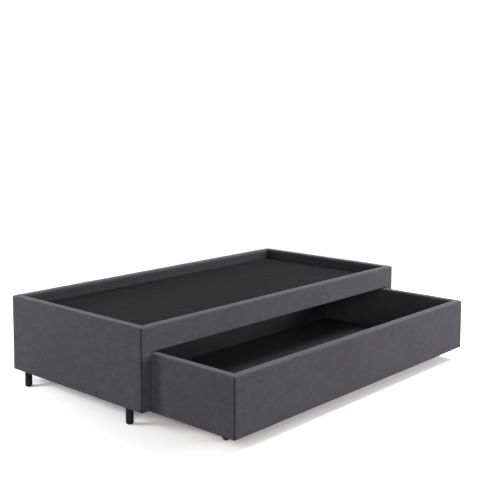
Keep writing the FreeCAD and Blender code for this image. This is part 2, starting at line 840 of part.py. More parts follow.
def caster_bracket(label, x, y):
    """A fixed caster's pressed bracket: plate, two cheeks and the axle holes.

    Its origin is the middle of the mounting face.
    """
    body = new_body(label, x, y, d.caster_high)
    cheeks = sketch_on(body, "YZ_Plane", "cheeks")
    draw_polygon(
        cheeks,
        [
            (-(d.cheek_top / 2), -d.cheek),
            (d.cheek_top / 2, -d.cheek),
            (d.cheek_foot, -axle_drop),
            (-d.cheek_foot, -axle_drop),
        ],
    )
    pad_both_ways(body, cheeks, outer_wide, "cheek_pad")
    feet = sketch_on(body, "YZ_Plane", "feet")
    draw_circle(feet, 0, -axle_drop, d.cheek_foot)
    pad_both_ways(body, feet, outer_wide, "foot_pad")
    gap = sketch_on(body, "XZ_Plane", "gap")
    low = -axle_drop - d.cheek_foot - d.cheek
    half_gap = inner_wide / 2
    draw_polygon(gap, [(-half_gap, low), (half_gap, low), (half_gap, -d.cheek), (-half_gap, -d.cheek)])
    pocket(body, gap, d.plate_long, "gap_cut", both_ways=True)
    plate = sketch_on(body, "XY_Plane", "plate")
    half_x = d.plate_wide / 2
    half_y = d.plate_long / 2
    draw_polygon(plate, [(-half_x, -half_y), (half_x, -half_y), (half_x, half_y), (-half_x, half_y)])
    pressed = body.newObject("PartDesign::Pad", f"{label}_plate_pad")
    pressed.Profile = plate
    pressed.Reversed = True
    bind(pressed, "Length", d.cheek)
    doc.recompute()
    corners = [
        f"Edge{i}"
        for i, edge in enumerate(pressed.Shape.Edges, start=1)
        if abs(edge.BoundBox.ZLength - d.cheek.value) < 1e-6
        and edge.BoundBox.XLength < 1e-6
        and abs(abs(edge.BoundBox.XMin) - half_x.value) < 1e-6
    ]
    rounded = body.newObject("PartDesign::Fillet", f"{label}_corners")
    rounded.Base = (pressed, corners)
    bind(rounded, "Radius", d.plate_round)
    doc.recompute()
    drilled = sketch_on(body, "XY_Plane", "plate_holes")
    for u, v in plate_screw_places(as_size(0), as_size(0)):
        draw_circle(drilled, u, v, d.plate_screw_radius + d.fit_gap)
    pocket(body, drilled, d.cheek, "plate_hole_cut")
    bored = sketch_on(body, "YZ_Plane", "axle_holes")
    draw_circle(bored, 0, -axle_drop, d.axle_radius + d.fit_gap)
    pocket(body, bored, d.plate_wide, "axle_hole_cut", both_ways=True)
    return body


def wheel(label, x, y):
    """A one-piece wheel turned about its own X axis: bored hub, thin web and rim."""
    body = new_body(label, x, y, d.wheel_radius)
    profile = sketch_on(body, "XY_Plane", "profile")
    bore = d.axle_radius + d.axle_play
    half = d.wheel_wide / 2
    web = d.web_wide / 2
    rim_in = d.wheel_radius - d.rim_deep
    draft = d.tread_round
    draw_polygon(
        profile,
        [
            (-half, bore),
            (half, bore),
            (half, d.hub_radius),
            (web, d.hub_radius + draft),
            (web, rim_in - draft),
            (half, rim_in),
            (half, d.wheel_radius - d.tread_round),
            (half - d.tread_round, d.wheel_radius),
            (-half + d.tread_round, d.wheel_radius),
            (-half, d.wheel_radius - d.tread_round),
            (-half, rim_in),
            (-web, rim_in - draft),
            (-web, d.hub_radius + draft),
            (-half, d.hub_radius),
        ],
    )
    turned = body.newObject("PartDesign::Revolution", f"{label}_turned")
    turned.Profile = profile
    turned.ReferenceAxis = (profile, ["H_Axis"])
    turned.Angle = 360
    return body


axles = []
plate_screws = []
for row_name, y in caster_rows:
    for word, x in caster_columns:
        where = f"{row_name}_{word}"
        caster_bracket(f"caster_bracket_{where}", x, y)
        wheel(f"caster_wheel_{where}", x, y)
        start_x = x - outer_wide / 2
        end_x = x + outer_wide / 2
        axles.append(
            fuse(
                f"axle_{where}",
                [
                    rod(f"axle_{where}_pin", (start_x, y, d.wheel_radius), "+x", d.axle_radius, outer_wide),
                    rod(f"axle_{where}_low", (start_x, y, d.wheel_radius), "-x", d.axle_head, d.axle_rivet),
                    rod(f"axle_{where}_high", (end_x, y, d.wheel_radius), "+x", d.axle_head, d.axle_rivet),
                ],
            )
        )
        for i, (u, v) in enumerate(plate_screw_places(x, y)):
            name = f"plate_screw_{where}_{i}"
            shank = rod(f"{name}_shank", (u, v, plate_low), "+z", d.plate_screw_radius, d.plate_screw_long)
            head_z = plate_low - d.plate_head_high
            head = rod(f"{name}_head", (u, v, head_z), "+z", d.plate_head, d.plate_head_high)
            plate_screws.append(fuse(name, [shank, head]))
node("caster_axles", group("caster_axles", axles))
node("caster_screws", group("caster_screws", plate_screws))


# ---------------------------------------------------------------- check and write

doc.recompute()
for obj in doc.Objects:
    if "Invalid" in obj.State or "Error" in obj.State:
        raise RuntimeError(f"{obj.Name} did not compute: {obj.State}")
for obj in nodes:
    if obj.Shape.isNull() or not obj.Shape.isValid() or not obj.Shape.Solids:
        raise RuntimeError(f"{obj.Label} has no valid shape")
os.makedirs("parts", exist_ok=True)
for obj in nodes:
    obj.Shape.exportStep(f"parts/{obj.Label}.step")
print(len(nodes), "nodes,", sum(len(obj.Shape.Solids) for obj in nodes), "solids")
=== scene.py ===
import json
import math

import bmesh
import bpy
import numpy as np
from mathutils import Matrix, Vector


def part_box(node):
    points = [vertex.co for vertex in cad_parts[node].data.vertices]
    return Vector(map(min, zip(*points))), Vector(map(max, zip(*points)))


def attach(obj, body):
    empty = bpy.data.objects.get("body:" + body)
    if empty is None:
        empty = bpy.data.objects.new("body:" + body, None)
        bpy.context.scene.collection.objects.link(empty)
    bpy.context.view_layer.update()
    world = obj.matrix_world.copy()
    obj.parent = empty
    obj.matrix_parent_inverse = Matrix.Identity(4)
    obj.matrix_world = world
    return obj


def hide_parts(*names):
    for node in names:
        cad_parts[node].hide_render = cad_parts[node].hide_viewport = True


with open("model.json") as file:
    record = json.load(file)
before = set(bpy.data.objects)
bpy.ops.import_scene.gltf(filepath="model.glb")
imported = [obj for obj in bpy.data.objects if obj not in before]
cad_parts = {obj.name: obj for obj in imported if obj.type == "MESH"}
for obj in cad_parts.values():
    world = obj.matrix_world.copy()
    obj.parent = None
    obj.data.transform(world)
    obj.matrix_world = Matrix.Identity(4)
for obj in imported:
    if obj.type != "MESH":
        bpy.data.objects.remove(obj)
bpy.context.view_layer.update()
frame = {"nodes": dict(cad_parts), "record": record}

MM = 0.001


# ---------------------------------------------------------------- places, from the frame


def corner(node, which, axis):
    """One coordinate of a CAD node's box: which is 0 for the lowest corner and 1 for the highest."""
    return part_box(node)[which][axis]


HALF = corner("front_cover", 1, 0)
FRONT_Y = corner("front_cover", 0, 1)
REAR_Y = corner("rear_cover", 1, 1)
BOX_LOW = corner("front_cover", 0, 2)
TOP = corner("front_cover", 1, 2)
RIM = corner("front_cover", 1, 1) - FRONT_Y
RIM_FOOT = corner("head_deck_panel", 1, 2)
DECK_TOP = corner("deck_cloth", 1, 2)
PAD = corner("front_top_rail", 0, 1) - FRONT_Y
OPEN_HALF = -corner("head_front_stile", 1, 0) - PAD
OPEN_TOP = corner("front_top_rail", 0, 2) - PAD
RIM_ROUND = 6.5 * MM
RIM_INNER_ROUND = 4 * MM
OPEN_ROUND = 22 * MM
OPEN_EDGE_ROUND = 4 * MM

DRAWER_HALF = corner("drawer_front_cover", 1, 0)
DRAWER_FRONT = corner("drawer_front_cover", 0, 1)
DRAWER_BACK = corner("drawer_back_cover", 1, 1)
DRAWER_LOW = corner("drawer_front_cover", 0, 2)
DRAWER_TOP = corner("drawer_front_cover", 1, 2)
DRAWER_WALL = corner("drawer_front_cover", 1, 1) - DRAWER_FRONT
LINING_LOW = corner("drawer_lining", 0, 2) + 2 * MM
LINING_TOP = corner("drawer_lining", 1, 2)
DRAWER_ROUND = 7 * MM
MOUTH_ROUND = 4 * MM

ALONG_X, ALONG_Y = (1, 0, 0), (0, 1, 0)


# ---------------------------------------------------------------- smooth random fields


def waves(points, size, seed, count=24, stretch=(1, 1, 1)):
    """A smooth random field of about -1 to 1 whose bumps are roughly size across."""
    rng = np.random.default_rng(seed)
    ways = rng.normal(size=(count, 3))
    ways /= np.linalg.norm(ways, axis=1)[:, None]
    rate = 2 * math.pi / (size * rng.uniform(0.7, 1.6, count))
    phase = rng.uniform(0, 2 * math.pi, count)
    at = (points / np.array(stretch)) @ (ways * rate[:, None]).T + phase
    return np.sin(at).sum(axis=-1) / math.sqrt(count)


def smooth(t):
    """Rises from 0 to 1 with level ends."""
    t = np.clip(t, 0, 1)
    return t * t * (3 - 2 * t)


# ---------------------------------------------------------------- profiles across an upholstered wall


HEM_ROUND = 3 * MM
HEM_SHARE = 0.8
FLAT_MARGIN = 0.9 * MM


def arc(depth, height, radius, start, end, steps):
    """Points (depth, height, outward, upward) round a corner, between two directions in degrees."""
    out = []
    for angle in np.radians(np.linspace(start, end, steps + 1)):
        away, up = math.cos(angle), math.sin(angle)
        out.append((depth - radius * away, height + radius * up, away, up))
    return out


def line(start, end, normal, step):
    """Evenly spaced points between two ends, and one close to each end that keeps the flat flat."""
    length = math.dist(start, end)
    count = max(1, round(length / step))
    close = FLAT_MARGIN / length
    shares = [close] + [i / count for i in range(1, count)] + [1 - close]
    (depth, height), (deep, high) = start, end
    return [(depth + (deep - depth) * t, height + (high - height) * t, *normal) for t in shares]


def wall_profile(low, top, wall, outer_round, inner_round, foot, step):
    """From the hem under the wall, up its outer face, over the top and down the inner face to its foot."""
    inner = wall - inner_round
    hem_end = (wall * HEM_SHARE, low)
    hem = [(*hem_end, 0, -1)] + line(hem_end, (HEM_ROUND, low), (0, -1), step)
    face = line((0, low + HEM_ROUND), (0, top - outer_round), (1, 0), step)
    cap = line((outer_round, top), (inner, top), (0, 1), step)
    parts = [
        hem,
        arc(HEM_ROUND, low + HEM_ROUND, HEM_ROUND, -90, 0, 3),
        face,
        arc(outer_round, top - outer_round, outer_round, 0, 90, 7),
        cap,
        arc(inner, top - inner_round, inner_round, 90, 180, 6),
    ]
    inside_top = top - inner_round
    if inside_top - foot > step:
        parts.append(line((wall, inside_top), (wall, foot), (-1, 0), step))
    parts.append([(wall, foot, -1, 0)])
    return np.array([point for part in parts for point in part])


ROLL = 9 * MM
GROOVE = 4.4 * MM
CREASE_AT = 42 * MM
CREASE_WIDE = 3 * MM
CREASE_DEEP = 0.4 * MM
SEAM_WIDE = 4.6 * MM
SEAM_CALM = 16 * MM
HEM_FADE = 22 * MM
BROAD_WAVE, BROAD_SIZE = 0.45 * MM, 0.22
FINE_WAVE, FINE_SIZE = 0.16 * MM, 0.05
SHADE_START, SHADE_REACH = 2 * MM, 14 * MM


def roll_curve(share):
    """Where an edge that rolls into a corner seam lies: back from the corner, and in from the face."""
    start, pull, lead, end = (
        np.array((ROLL, 0.0)),
        np.array((ROLL * 0.5, 0.0)),
        np.array((GROOVE * 0.42, GROOVE * 0.3)),
        np.array((GROOVE, GROOVE)),
    )
    t = np.asarray(share)[..., None]
    return start * (1 - t) ** 3 + 3 * pull * t * (1 - t) ** 2 + 3 * lead * t * t * (1 - t) + end * t**3


def stations(half, step):
    """Distances along a wall, close together where its ends roll into the seams and at the creases."""
    ends = ROLL * np.linspace(0, 1, 8)[:-1]
    creases = CREASE_AT + CREASE_WIDE * np.linspace(-2.5, 2.5, 11)
    between = np.linspace(ROLL, creases[0], 5)[:-1]
    ends = np.concatenate([ends, between, creases[:-1]])
    last = creases[-1]
    inside = np.linspace(last, 2 * half - last, max(2, round((2 * half - 2 * last) / step)))
    return np.concatenate([ends, inside, (2 * half - ends)[::-1]])


def wall_grid(profile, along, half, crown, seed, place):
    """Points and weights of one mitred wall: a row for each profile point, a column for each station."""
    depth, height, away, up = (profile[:, i][:, None] for i in range(4))
    room = half - depth
    near = np.minimum(along, 2 * half - along)[None, :]
    sign = np.where(along < half, -1.0, 1.0)[None, :]
    outer = smooth(away) * (depth < RIM * 0.5)
    rolled = np.clip(outer + 0.05 * smooth(up), 0, 1)
    share = np.clip(1 - near / ROLL, 0, 1)
    curve = roll_curve(np.broadcast_to(share, (len(profile), len(along))))
    turn = rolled * np.clip(away, 0, 1)
    scale = (room - ROLL) / (half - ROLL)
    plain = np.where(near < ROLL, near, ROLL + (near - ROLL) * scale)
    back = (1 - turn) * plain + turn * np.where(near < ROLL, curve[..., 0], plain)
    sunk = rolled * np.where(near < ROLL, curve[..., 1], 0)
    u = sign * (room - back)
    base = place(u, depth + 0 * u, height + 0 * u)
    calm = 1 - np.exp(-near / SEAM_CALM)
    face = smooth((height - height.min()) / HEM_FADE) * np.clip(away, 0, 1)
    swell = crown * (face + 0.8 * np.clip(up, 0, 1) - 0.2 * np.clip(-away, 0, 1))
    wavy = BROAD_WAVE * waves(base, BROAD_SIZE, seed) + FINE_WAVE * waves(base, FINE_SIZE, seed + 1)
    crease = outer * face * np.exp(-(((near - CREASE_AT) / CREASE_WIDE) ** 2))
    out = calm * (swell + wavy * (0.35 + 0.65 * face)) - sunk - CREASE_DEEP * crease
    moved_depth = depth - out * away
    moved_height = height + out * up
    points = place(u, moved_depth, moved_height)
    # painted shade: this weight darkens the suede in the groove where the edges roll into the corner seam,
    # and a little along the crease
    seam = rolled * np.exp(-((near / SEAM_WIDE) ** 2)) + 0.04 * crease
    # rubbed nap and painted highlight: lightens the rounded outer top edge, where it faces up and out
    # towards the light, less at the seams
    rubbed_and_highlight = np.clip(up, 0, 1) * np.clip(away, 0, 1) * 2 * (1 - seam)
    thick = np.where(up < -0.5, 0.0, 1.0) + 0 * u
    # painted shade: darkens the rims' inner faces more and more below their top, as shade falling into the
    # box
    depth_in = smooth((height.max() - SHADE_START - height) / SHADE_REACH)
    shade = np.clip(-away, 0, 1) * depth_in + 0 * u
    return points, {"seam": seam, "rubbed_and_highlight": rubbed_and_highlight + 0 * u, "shade": shade, "thick": thick}


# ---------------------------------------------------------------- meshes


MERGE = 0.02 * MM


class Skin:
    """Collects grids of points that share their edges, and makes one mesh of them."""

    def __init__(self):
        self.points, self.faces = [], []
        self.values = {"seam": [], "rubbed_and_highlight": [], "shade": [], "thick": []}
        self.count = 0

    def add(self, points, values, flip=False, keep=None):
        rows, columns = points.shape[:2]
        index = np.arange(rows * columns).reshape(rows, columns) + self.count
        quads = np.stack([index[:-1, :-1], index[:-1, 1:], index[1:, 1:], index[1:, :-1]], axis=-1)
        if keep is not None:
            quads = quads[keep]
        quads = quads.reshape(-1, 4)
        self.faces.append(quads[:, ::-1] if flip else quads)
        self.points.append(points.reshape(-1, 3))
        for name in self.values:
            value = np.broadcast_to(values.get(name, 0.0), (rows, columns))
            self.values[name].append(value.reshape(-1))
        self.count += rows * columns

    def build(self, name, thickness=0.0, thin=0.35):
        """Joins the grids and thickens them inwards, down to the share thin at the hems."""
        mesh = bpy.data.meshes.new(name)
        mesh.from_pydata(np.concatenate(self.points).tolist(), [], np.concatenate(self.faces).tolist())
        for key, parts in self.values.items():
            layer = mesh.attributes.new(key, "FLOAT", "POINT")
            layer.data.foreach_set("value", np.concatenate(parts).astype(np.float32))
        work = bmesh.new()
        work.from_mesh(mesh)
        bmesh.ops.remove_doubles(work, verts=work.verts, dist=MERGE)
        loose = [v for v in work.verts if not v.link_faces]
        bmesh.ops.delete(work, geom=loose, context="VERTS")
        work.to_mesh(mesh)
        work.free()
        obj = bpy.data.objects.new(name, mesh)
        bpy.context.scene.collection.objects.link(obj)
        if thickness:
            group = obj.vertex_groups.new(name="thick")
            for vertex, value in zip(mesh.vertices, mesh.attributes["thick"].data):
                group.add([vertex.index], float(value.value), "REPLACE")
            solid = obj.modifiers.new("solid", "SOLIDIFY")
            solid.thickness = thickness
            solid.offset = -1
            solid.vertex_group = group.name
            solid.thickness_vertex_group = thin
            apply_modifiers(obj)
            obj.vertex_groups.clear()
        smooth_shaded(obj)
        return obj


def smooth_shaded(obj):
    """Shades every face smoothly."""
    for polygon in obj.data.polygons:
        polygon.use_smooth = True


def apply_modifiers(obj):
    """Replaces a mesh by what its modifiers make of it."""
    graph = bpy.context.evaluated_depsgraph_get()
    mesh = bpy.data.meshes.new_from_object(obj.evaluated_get(graph))
    obj.modifiers.clear()
    obj.data = mesh


# ---------------------------------------------------------------- upholstered walls


def wall_place(centre, along_way, inward):
    """A function from (along, depth, height) to points in the row frame."""
    centre, along_way, inward = (np.array(v, float) for v in (centre, along_way, inward))
    up = np.array((0, 0, 1.0))

    def place(u, d, z):
        return centre + u[..., None] * along_way + d[..., None] * inward + z[..., None] * up

    return place


BED_ROW_STEP = 6.5 * MM
DRAWER_ROW_STEP = 6 * MM
COLUMN_STEP = 7 * MM
BED_PROFILE = wall_profile(BOX_LOW, TOP, RIM, RIM_ROUND, RIM_INNER_ROUND, RIM_FOOT, BED_ROW_STEP)
DRAWER_PROFILE = wall_profile(
    DRAWER_LOW, DRAWER_TOP, DRAWER_WALL, DRAWER_ROUND, MOUTH_ROUND, LINING_TOP, DRAWER_ROW_STEP
)
FABRIC = 3.2 * MM
BED_CROWN = 0.9 * MM
DRAWER_CROWN = 1.2 * MM


def plain_wall(name, profile, half, crown, seed, centre, along_way, inward):
    """One mitred wall without an opening, as a closed shell."""
    along = stations(half, COLUMN_STEP)
    place = wall_place(centre, along_way, inward)
    points, values = wall_grid(profile, along, half, crown, seed, place)
    skin = Skin()
    flip = np.cross(np.array(along_way, float), (0, 0, 1.0)) @ np.array(inward, float) > 0
    skin.add(points, values, flip=bool(flip))
    return skin.build(name, FABRIC)


BED_MID_Y = (FRONT_Y + REAR_Y) / 2
BED_HALF_Y = (REAR_Y - FRONT_Y) / 2
DRAWER_MID_Y = (DRAWER_FRONT + DRAWER_BACK) / 2
DRAWER_HALF_Y = (DRAWER_BACK - DRAWER_FRONT) / 2


FRONT_SEED = 11
COLUMNS_ACROSS, ROWS_BELOW_TURN, ROWS_ABOVE = 270, 32, 16
ROUNDING_SPREAD = 70 * MM
RIM_FADE = 20 * MM
OPENING_DROP = 3 * MM
OPENING_SHORT = 0.5 * MM
OPENING_RIPPLE, OPENING_RIPPLE_SIZE, OPENING_SEED = 0.3 * MM, 0.05, 17


def opening_strip(edge, centre_x, centre_z):
    """The cloth that turns in round the opening's edge and runs back to the board's rear face."""
    toward = np.zeros_like(edge)
    qx, qz = np.abs(edge[:, 0]) - centre_x, edge[:, 2] - centre_z
    in_turn = (qx > 0) & (qz > 0)
    length = np.maximum(np.hypot(qx, qz), 1e-9)
    toward[:, 0] = np.where(in_turn, -np.sign(edge[:, 0]) * qx / length, 0)
    toward[:, 2] = np.where(in_turn, -qz / length, 0)
    beside = qz <= 0
    toward[beside] = np.column_stack([-np.sign(edge[beside, 0]), np.zeros((beside.sum(), 2))])
    toward[(qx <= 0) & (qz > 0)] = (0, 0, -1)
    back = np.array(ALONG_Y, float)
    strips = []
    for angle in np.radians(np.linspace(0, 90, 6)):
        turned = toward * OPEN_EDGE_ROUND * math.sin(angle)
        strips.append(edge + turned + back * OPEN_EDGE_ROUND * (1 - math.cos(angle)))
    for depth in np.linspace(OPEN_EDGE_ROUND, RIM - PAD - OPENING_SHORT, 6)[1:]:
        strips.append(edge + toward * OPEN_EDGE_ROUND + back * depth)
    strip = np.array(strips)
    growth = np.linspace(0, 1, len(strips))[:, None] ** 0.5
    ripple = OPENING_RIPPLE * waves(strip, OPENING_RIPPLE_SIZE, OPENING_SEED) * growth
    strip = strip + toward[None] * ripple[..., None]
    strip[0] = edge
    return strip


def front_wall():
    """The bed's front: a mitred wall with the drawer's opening turned in through it."""
    gap_half, gap_top = OPEN_HALF + OPEN_EDGE_ROUND, OPEN_TOP + OPEN_EDGE_ROUND
    gap_round = OPEN_ROUND + OPEN_EDGE_ROUND
    centre_x, centre_z = gap_half - gap_round, gap_top - gap_round
    profile = BED_PROFILE.copy()
    on_face = (profile[:, 2] > 0.999) & (profile[:, 0] < MM)
    stile = np.linspace(0, HALF - gap_half - ROLL, 8)[1:]
    rounded = np.linspace(0, gap_round, 7)
    centre_run = np.linspace(-centre_x, centre_x, COLUMNS_ACROSS)[1:-1]
    roll = ROLL * np.linspace(0, 1, 8)[:-1]
    to_opening = -HALF + ROLL + (HALF - gap_half - ROLL - stile[::-1])
    left = np.concatenate([-HALF + roll, to_opening, -gap_half + rounded])
    columns = np.concatenate([left, centre_run, -left[::-1]])
    rows = profile[on_face][:, 1]
    low, high = rows[0], rows[-1]
    below = np.linspace(low, centre_z, ROWS_BELOW_TURN)[:-1]
    turn = centre_z + rounded
    above = np.linspace(gap_top, high, ROWS_ABOVE)[1:]
    heights = np.concatenate([below, turn, above])
    first, last = np.argmax(on_face), len(on_face) - np.argmax(on_face[::-1])
    face_rows = np.column_stack([0 * heights, heights, 1 + 0 * heights, 0 * heights])
    profile = np.concatenate([profile[:first], face_rows, profile[last:]])

    place = wall_place((0, FRONT_Y, 0), ALONG_X, ALONG_Y)
    points, values = wall_grid(profile, columns + HALF, HALF, BED_CROWN, FRONT_SEED, place)

    def warp(x, z):
        """Rounds the opening's square corners, and less and less away from them."""
        qx, qz = np.abs(x) - centre_x, z - centre_z
        square, round_ = np.maximum(qx, qz), np.hypot(qx, qz)
        inside = (qx > 0) & (qz > 0)
        share = np.where(inside, square / np.maximum(round_, 1e-9), 1.0)
        fade = smooth((square - gap_round) / ROUNDING_SPREAD)
        share = share * (1 - fade) + fade
        share = np.where(inside, share, 1.0)
        return np.sign(x) * (centre_x + qx * share), centre_z + qz * share

    face_index = (profile[:, 2] > 0.999) & (profile[:, 0] < MM)
    x, z = points[face_index][..., 0], points[face_index][..., 2]
    new_x, new_z = warp(x, z)
    keep_roll = smooth((HALF - ROLL - np.abs(x)) / (2 * ROLL))
    points[face_index, :, 0] = x + (new_x - x) * keep_roll
    points[face_index, :, 2] = z + (new_z - z) * smooth((high - z) / RIM_FADE)

    # the hem under each stile stays beside the opening
    face_x = points[first, :, 0]
    beside = np.clip((np.abs(columns) - gap_half) / (HALF - gap_half), 0, 1)
    points[:first, :, 0] = face_x + (points[:first, :, 0] - face_x) * beside

    x_low = np.abs(columns[:-1] + columns[1:]) / 2 < gap_half
    z_mid = (profile[:-1, 1] + profile[1:, 1]) / 2
    outer_rows = (profile[:-1, 0] < RIM * 0.9) & (z_mid < gap_top)
    keep = ~(outer_rows[:, None] & x_low[None, :])
    skin = Skin()
    skin.add(points, values, keep=keep)

    start = np.argmax(face_index)
    top_row = start + np.argmin(np.abs(profile[face_index][:, 1] - gap_top))
    left_column = np.argmin(np.abs(columns + gap_half))
    right_column = np.argmin(np.abs(columns - gap_half))
    side_left = points[start:top_row, left_column]
    across = points[top_row, left_column:right_column + 1]
    side_right = points[start:top_row, right_column][::-1]
    edge = np.concatenate([side_left, across, side_right])
    drop = (0, 0, OPENING_DROP)
    edge = np.concatenate([edge[:1] - drop, edge, edge[-1:] - drop])
    skin.add(opening_strip(edge, centre_x, centre_z), {"thick": 1.0}, flip=True)
    return skin.build("front_upholstery", FABRIC)


# ---------------------------------------------------------------- material nodes


class Shader:
    """A node material with short ways to make and join its nodes."""

    def __init__(self, name):
        self.material = bpy.data.materials.new(name)
        self.material.use_nodes = True
        self.tree = self.material.node_tree
        self.tree.nodes.clear()
        self.surface = self.new("ShaderNodeBsdfPrincipled")
        self.output = self.new("ShaderNodeOutputMaterial")
        self.link(self.surface.outputs["BSDF"], self.output.inputs["Surface"])
        self.place = self.new("ShaderNodeTexCoord").outputs["Object"]

    def new(self, kind, **settings):
        made = self.tree.nodes.new(kind)
        for key, value in settings.items():
            setattr(made, key, value)
        return made

    def link(self, output, socket):
        self.tree.links.new(output, socket)

    def feed(self, socket, value):
        if isinstance(value, bpy.types.NodeSocket):
            self.link(value, socket)
        else:
            socket.default_value = value

    def scaled(self, scale):
        mapping = self.new("ShaderNodeMapping")
        mapping.inputs["Scale"].default_value = scale if hasattr(scale, "__len__") else (scale,) * 3
        self.link(self.place, mapping.inputs["Vector"])
        return mapping.outputs["Vector"]

    def noise(self, scale, detail=2.0, roughness=0.5, distortion=0.0):
        made = self.new("ShaderNodeTexNoise")
        self.link(self.scaled(scale), made.inputs["Vector"])
        made.inputs["Scale"].default_value = 1.0
        made.inputs["Detail"].default_value = detail
        made.inputs["Roughness"].default_value = roughness
        made.inputs["Distortion"].default_value = distortion
        return made.outputs["Fac"]

    def cells(self, scale, randomness=1.0):
        made = self.new("ShaderNodeTexVoronoi", feature="F1")
        self.link(self.scaled(scale), made.inputs["Vector"])
        made.inputs["Scale"].default_value = 1.0
        made.inputs["Randomness"].default_value = randomness
        return made.outputs["Distance"]

    def attribute(self, name):
        return self.new("ShaderNodeAttribute", attribute_name=name).outputs["Fac"]

    def math(self, operation, a, b=0.0):
        made = self.new("ShaderNodeMath", operation=operation)
        self.feed(made.inputs[0], a)
        self.feed(made.inputs[1], b)
        return made.outputs[0]

    def span(self, value, low, high, to_low, to_high):
        made = self.new("ShaderNodeMapRange", clamp=True)
        self.feed(made.inputs["Value"], value)
        ends = {"From Min": low, "From Max": high, "To Min": to_low, "To Max": to_high}
        for key, number in ends.items():
            self.feed(made.inputs[key], number)
        return made.outputs["Result"]

    def spread(self, noise, to_low, to_high):
        """The usual range of a noise, stretched to two values."""
        return self.span(noise, 0.3, 0.7, to_low, to_high)

    def mix(self, share, a, b):
        made = self.new("ShaderNodeMix", data_type="RGBA", blend_type="MIX")
        self.feed(made.inputs[0], share)
        self.feed(made.inputs[6], (*a, 1.0) if isinstance(a, tuple) else a)
        self.feed(made.inputs[7], (*b, 1.0) if isinstance(b, tuple) else b)
        return made.outputs[2]

    def bump(self, height, distance, strength=1.0, under=None):
        made = self.new("ShaderNodeBump")
        made.inputs["Strength"].default_value = strength
        made.inputs["Distance"].default_value = distance
        self.link(height, made.inputs["Height"])
        if under is not None:
            self.link(under, made.inputs["Normal"])
        return made.outputs["Normal"]

    def set(self, **values):
        for key, value in values.items():
            self.feed(self.surface.inputs[key.replace("_", " ")], value)
        return self.material


def tinted(colour, factor):
    """A darker or lighter shade of a colour."""
    return tuple(c * factor for c in colour)


SUEDE = (0.0372, 0.0356, 0.0410)
DECK_BLACK = (0.0078, 0.0078, 0.0080)
LINING_BLACK = (0.023, 0.023, 0.0237)
LEG_BLACK = (0.008, 0.008, 0.0092)
WHEEL_BLACK = (0.02, 0.02, 0.021)
SCUFF_GREY = (0.12, 0.115, 0.11)
SCUFF_HIGH = 0.03


def suede_material():
    """Short-pile suede: brushed patches, fine fibres, a soft sheen, rubbed nap with a painted highlight on
    the rounded top edges, painted shade in the seams and painted shade down the rims' inner faces.
    """
    s = Shader("grey_suede")
    patches = s.noise((2.6, 2.6, 1.7), 3.0, 0.55, 0.6)
    strokes = s.noise((24, 24, 44), 4.0, 0.68, 0.5)
    streaks = s.noise((26, 26, 3.2), 2.0, 0.5, 0.3)
    fibres = s.noise(620, 2.0, 0.6)
    pile = s.noise((190, 190, 150), 2.0, 0.55)
    colour = s.mix(s.spread(patches, 0, 1), tinted(SUEDE, 0.87), tinted(SUEDE, 1.14))
    colour = s.mix(s.span(strokes, 0.34, 0.66, 0, 0.8), colour, tinted(SUEDE, 0.62))
    colour = s.mix(s.spread(streaks, 0, 0.3), colour, tinted(SUEDE, 0.86))
    colour = s.mix(s.span(fibres, 0.35, 0.7, 0, 0.3), colour, tinted(SUEDE, 1.5))
    # rubbed nap and painted highlight on the rounded top edges
    colour = s.mix(s.math("MULTIPLY", s.attribute("rubbed_and_highlight"), 0.1), colour, tinted(SUEDE, 1.45))
    # painted shade: darkens the rims' inner faces towards a fifth of the suede's colour
    colour = s.mix(s.math("MULTIPLY", s.attribute("shade"), 0.78), colour, tinted(SUEDE, 0.2))
    # painted shade: darkens the suede to a tenth of its colour along the seam grooves and the crease
    colour = s.mix(s.math("MULTIPLY", s.attribute("seam"), 0.95), colour, tinted(SUEDE, 0.1))
    under = s.bump(pile, 0.25 * MM, 0.5)
    normal = s.bump(fibres, 0.1 * MM, 0.6, under)
    return s.set(
        Base_Color=colour,
        Roughness=s.spread(patches, 0.86, 0.97),
        Normal=normal,
        Sheen_Weight=0.06,
        Sheen_Roughness=0.5,
        Sheen_Tint=(0.86, 0.86, 0.92, 1.0),
        Specular_IOR_Level=0.12,
    )


def nonwoven_material(name, colour):
    """Spun-bonded cloth: matted fibres with a fine grid of welded points."""
    s = Shader(name)
    clouds = s.noise(7, 3.0, 0.6, 0.5)
    fibres = s.noise((420, 420, 420), 3.0, 0.7, 1.2)
    points = s.cells(560, randomness=0.12)
    pits = s.span(points, 0.18, 0.4, 0, 1)
    tint = s.mix(s.spread(clouds, 0, 1), tinted(colour, 0.82), tinted(colour, 1.2))
    tint = s.mix(s.span(fibres, 0.35, 0.7, 0, 0.4), tint, tinted(colour, 1.9))
    tint = s.mix(s.span(pits, 0, 1, 0.3, 0), tint, tinted(colour, 0.5))
    normal = s.bump(pits, 0.12 * MM, 0.5, s.bump(fibres, 0.15 * MM, 0.5))
    return s.set(
        Base_Color=tint,
        Roughness=s.spread(clouds, 0.7, 0.88),
        Normal=normal,
        Specular_IOR_Level=0.04,
    )


